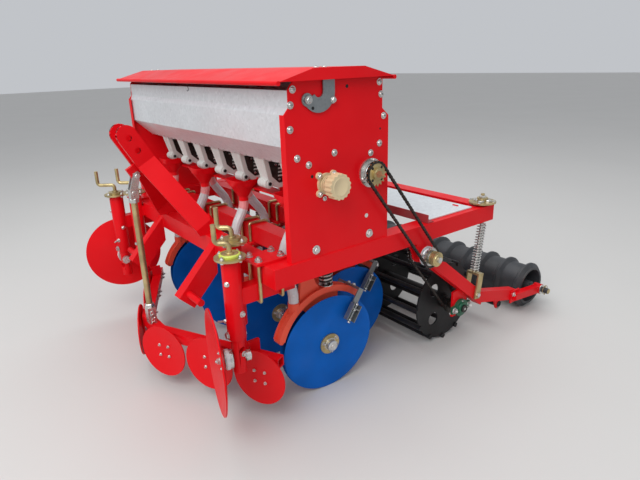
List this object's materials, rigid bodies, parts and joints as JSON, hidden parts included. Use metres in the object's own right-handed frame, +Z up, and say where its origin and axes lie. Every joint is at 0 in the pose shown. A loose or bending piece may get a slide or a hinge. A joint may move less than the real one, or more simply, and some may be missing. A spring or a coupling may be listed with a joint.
{
  "type": "seed drill",
  "caption": "Compact tractor-mounted seed drill with hopper, double disc openers, front levelling bar, cage roller and ring roller",
  "frame": {"origin": "On the ground, under the middle of the whole drill", "axes": "+X across to the chain side, +Y to the rear (the ring roller's end), +Z up; the tractor is at -Y"},
  "size_m": [1.31, 1.6568, 1.063],
  "materials": {
    "red_paint": "gloss enamel",
    "orange_paint": "gloss enamel",
    "blue_paint": "gloss enamel",
    "galvanised": "hot dip galvanised sheet",
    "bright_zinc": "bright zinc plated",
    "yellow_zinc": "yellow chromate zinc plated",
    "dark_steel": "oiled steel",
    "black_paint": "satin enamel",
    "green_paint": "satin enamel",
    "grey_plastic": "moulded",
    "beige_plastic": "moulded",
    "clear_hose": "translucent flexible hose"
  },
  "bodies": {
    "frame": {"side_rails": "red_paint", "cross_beams": "red_paint", "hitch_mast": "red_paint", "hitch_arms": "red_paint", "end_plates": "red_paint", "hopper_walls": "galvanised", "metering_units": "grey_plastic", "metering_knob": "beige_plastic", "metering_bearing": "bright_zinc", "seed_funnels": "red_paint", "seed_tubes": "clear_hose", "opener_hangers": "red_paint", "opener_bodies": "orange_paint", "opener_springs": "black_paint", "opener_bolts": "yellow_zinc", "opener_scrapers": "bright_zinc", "outer_columns": "red_paint", "inner_columns": "red_paint", "column_flanges": "yellow_zinc", "crank_handles": "yellow_zinc", "column_u_bolts": "yellow_zinc", "disc_hubs": "bright_zinc", "leveller_bar": "red_paint", "leveller_paddles": "red_paint", "lift_rod": "yellow_zinc", "walkway": "galvanised", "rear_arms": "red_paint", "arm_pivot_bolt": "bright_zinc", "arm_cross_tube": "black_paint", "strut_rods": "yellow_zinc", "strut_springs": "bright_zinc", "strut_handwheels": "yellow_zinc", "roller_bearings": "green_paint", "upper_chain": "dark_steel", "lower_chain": "dark_steel"},
    "lid": {"lid": "red_paint"},
    "cage_roller": {"cage_roller": "black_paint", "cage_plates": "black_paint", "cage_rods": "black_paint"},
    "ring_roller": {"ring_roller": "black_paint"},
    "jackshaft": {"jackshaft": "bright_zinc", "drive_clutch": "yellow_zinc"},
    "metering_shaft": {"metering_shaft": "bright_zinc"},
    "front_disc_near": {"front_disc_near": "red_paint"},
    "front_disc_far": {"front_disc_far": "red_paint"},
    "disc_1_near": {"disc_1_near": "blue_paint"},
    "disc_1_far": {"disc_1_far": "blue_paint"},
    "disc_2_near": {"disc_2_near": "blue_paint"},
    "disc_2_far": {"disc_2_far": "blue_paint"},
    "disc_3_near": {"disc_3_near": "blue_paint"},
    "disc_3_far": {"disc_3_far": "blue_paint"},
    "disc_4_near": {"disc_4_near": "blue_paint"},
    "disc_4_far": {"disc_4_far": "blue_paint"},
    "disc_5_near": {"disc_5_near": "blue_paint"},
    "disc_5_far": {"disc_5_far": "blue_paint"},
    "disc_6_near": {"disc_6_near": "blue_paint"},
    "disc_6_far": {"disc_6_far": "blue_paint"},
    "disc_7_near": {"disc_7_near": "blue_paint"},
    "disc_7_far": {"disc_7_far": "blue_paint"}
  },
  "joints": [
    {"name": "lid_hinge", "type": "hinge", "parent": "frame", "child": "lid", "pos_m": [0, -0.4856, 0.985], "axis": [1, 0, 0], "range_deg": [0, 62]},
    {"name": "cage_spin", "type": "hinge", "parent": "frame", "child": "cage_roller", "pos_m": [0, 0.2154, 0.165], "axis": [1, 0, 0], "continuous": true},
    {"name": "ring_spin", "type": "hinge", "parent": "frame", "child": "ring_roller", "pos_m": [0, 0.7284, 0.1], "axis": [1, 0, 0], "continuous": true},
    {"name": "jackshaft_spin", "type": "hinge", "parent": "frame", "child": "jackshaft", "pos_m": [0.58, -0.0046, 0.436], "axis": [1, 0, 0], "continuous": true},
    {"name": "metering_spin", "type": "hinge", "parent": "frame", "child": "metering_shaft", "pos_m": [0, -0.2626, 0.763], "axis": [1, 0, 0], "continuous": true},
    {"name": "front_disc_near_spin", "type": "hinge", "parent": "frame", "child": "front_disc_near", "pos_m": [0.47424, -0.7645, 0.27], "axis": [-0.2924, -0.9563, 0], "continuous": true},
    {"name": "front_disc_far_spin", "type": "hinge", "parent": "frame", "child": "front_disc_far", "pos_m": [-0.57747, -0.67604, 0.3], "axis": [-0.9703, 0.2419, 0], "continuous": true},
    {"name": "disc_1_near_spin", "type": "hinge", "parent": "frame", "child": "disc_1_near", "pos_m": [0.474, -0.3466, 0.17452], "axis": [0.9945, -0.0739, -0.0739], "continuous": true},
    {"name": "disc_1_far_spin", "type": "hinge", "parent": "frame", "child": "disc_1_far", "pos_m": [0.426, -0.3466, 0.17452], "axis": [0.9945, 0.0739, 0.0739], "continuous": true},
    {"name": "disc_2_near_spin", "type": "hinge", "parent": "frame", "child": "disc_2_near", "pos_m": [0.324, -0.1366, 0.17452], "axis": [0.9945, -0.0739, -0.0739], "continuous": true},
    {"name": "disc_2_far_spin", "type": "hinge", "parent": "frame", "child": "disc_2_far", "pos_m": [0.276, -0.1366, 0.17452], "axis": [0.9945, 0.0739, 0.0739], "continuous": true},
    {"name": "disc_3_near_spin", "type": "hinge", "parent": "frame", "child": "disc_3_near", "pos_m": [0.174, -0.3466, 0.17452], "axis": [0.9945, -0.0739, -0.0739], "continuous": true},
    {"name": "disc_3_far_spin", "type": "hinge", "parent": "frame", "child": "disc_3_far", "pos_m": [0.126, -0.3466, 0.17452], "axis": [0.9945, 0.0739, 0.0739], "continuous": true},
    {"name": "disc_4_near_spin", "type": "hinge", "parent": "frame", "child": "disc_4_near", "pos_m": [0.024, -0.1366, 0.17452], "axis": [0.9945, -0.0739, -0.0739], "continuous": true},
    {"name": "disc_4_far_spin", "type": "hinge", "parent": "frame", "child": "disc_4_far", "pos_m": [-0.024, -0.1366, 0.17452], "axis": [0.9945, 0.0739, 0.0739], "continuous": true},
    {"name": "disc_5_near_spin", "type": "hinge", "parent": "frame", "child": "disc_5_near", "pos_m": [-0.126, -0.3466, 0.17452], "axis": [0.9945, -0.0739, -0.0739], "continuous": true},
    {"name": "disc_5_far_spin", "type": "hinge", "parent": "frame", "child": "disc_5_far", "pos_m": [-0.174, -0.3466, 0.17452], "axis": [0.9945, 0.0739, 0.0739], "continuous": true},
    {"name": "disc_6_near_spin", "type": "hinge", "parent": "frame", "child": "disc_6_near", "pos_m": [-0.276, -0.1366, 0.17452], "axis": [0.9945, -0.0739, -0.0739], "continuous": true},
    {"name": "disc_6_far_spin", "type": "hinge", "parent": "frame", "child": "disc_6_far", "pos_m": [-0.324, -0.1366, 0.17452], "axis": [0.9945, 0.0739, 0.0739], "continuous": true},
    {"name": "disc_7_near_spin", "type": "hinge", "parent": "frame", "child": "disc_7_near", "pos_m": [-0.426, -0.3466, 0.17452], "axis": [0.9945, -0.0739, -0.0739], "continuous": true},
    {"name": "disc_7_far_spin", "type": "hinge", "parent": "frame", "child": "disc_7_far", "pos_m": [-0.474, -0.3466, 0.17452], "axis": [0.9945, 0.0739, 0.0739], "continuous": true}
  ],
  "couplings": [
    {"joint": "jackshaft_spin", "follows": "cage_spin", "ratio": 1},
    {"joint": "metering_spin", "follows": "cage_spin", "ratio": 1}
  ]
}
